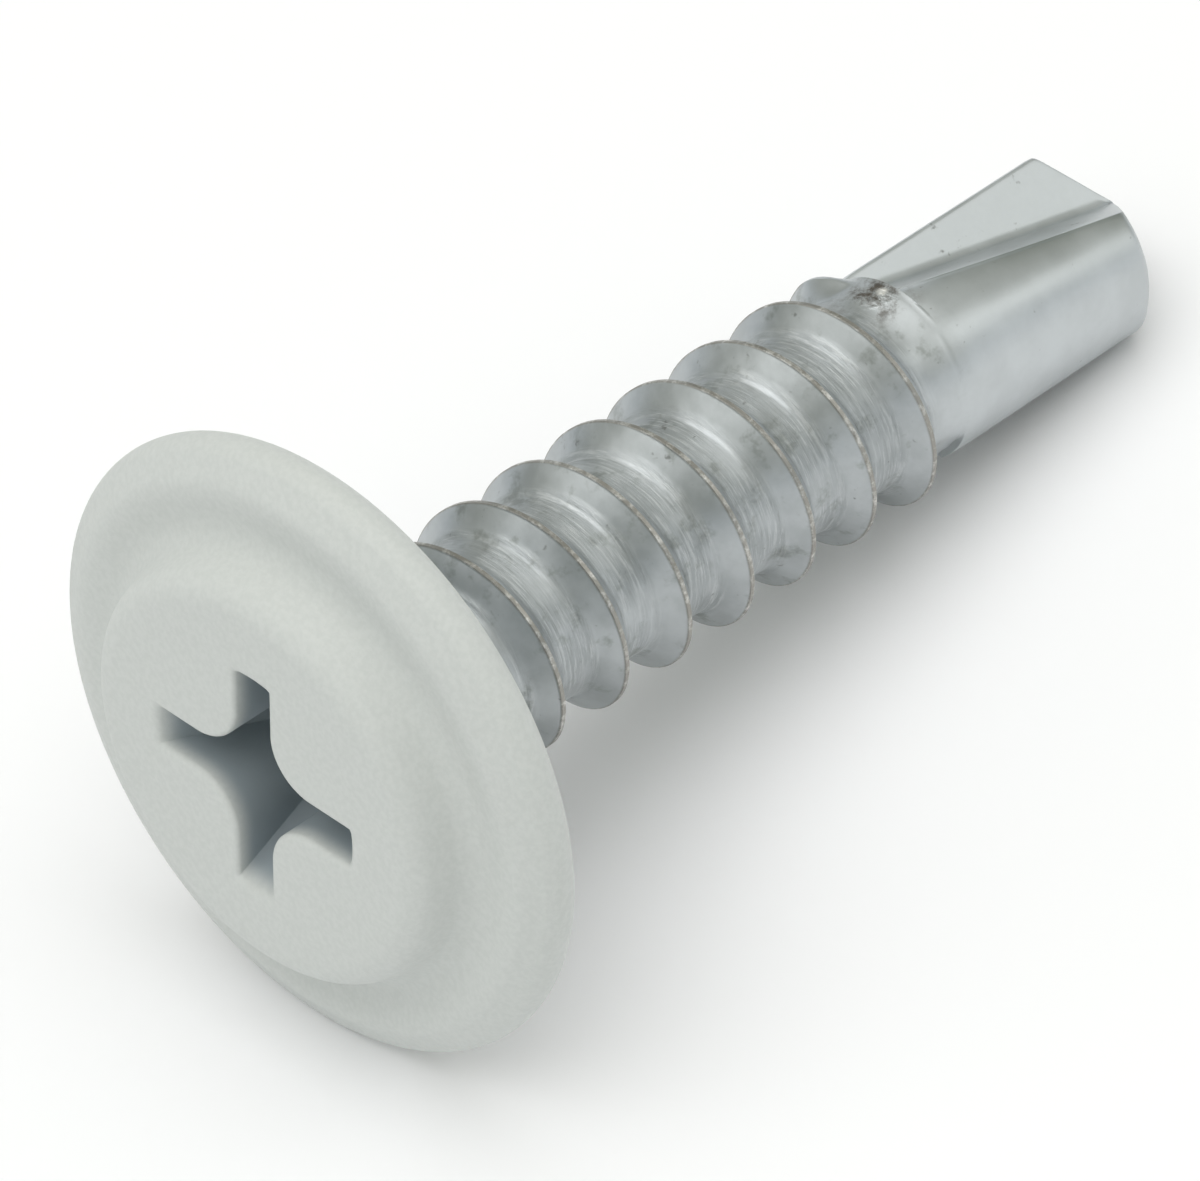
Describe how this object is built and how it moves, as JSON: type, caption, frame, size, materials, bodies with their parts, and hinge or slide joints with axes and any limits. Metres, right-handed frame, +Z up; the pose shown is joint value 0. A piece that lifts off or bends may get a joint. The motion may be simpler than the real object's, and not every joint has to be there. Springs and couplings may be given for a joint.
{
  "type": "flange head self-drilling screw",
  "caption": "Self-drilling screw with a wide painted flange head, a cross recess, a coarse right-hand thread and a fluted drill point, lying at rest.",
  "frame": {"origin": "middle of the resting screw's footprint, on the surface that it lies on", "axes": "+Y along the screw's length, from the head to the drill point, which lies 12.9 degrees lower than the shank's own line; +Z up; +X across the flange"},
  "size_m": [0.011, 0.021, 0.0107],
  "materials": {
    "screw_finish": "zinc-plated steel shank and drill point with a satin pale grey paint on the head"
  },
  "bodies": {
    "root": {"screw": "screw_finish"}
  },
  "joints": []
}
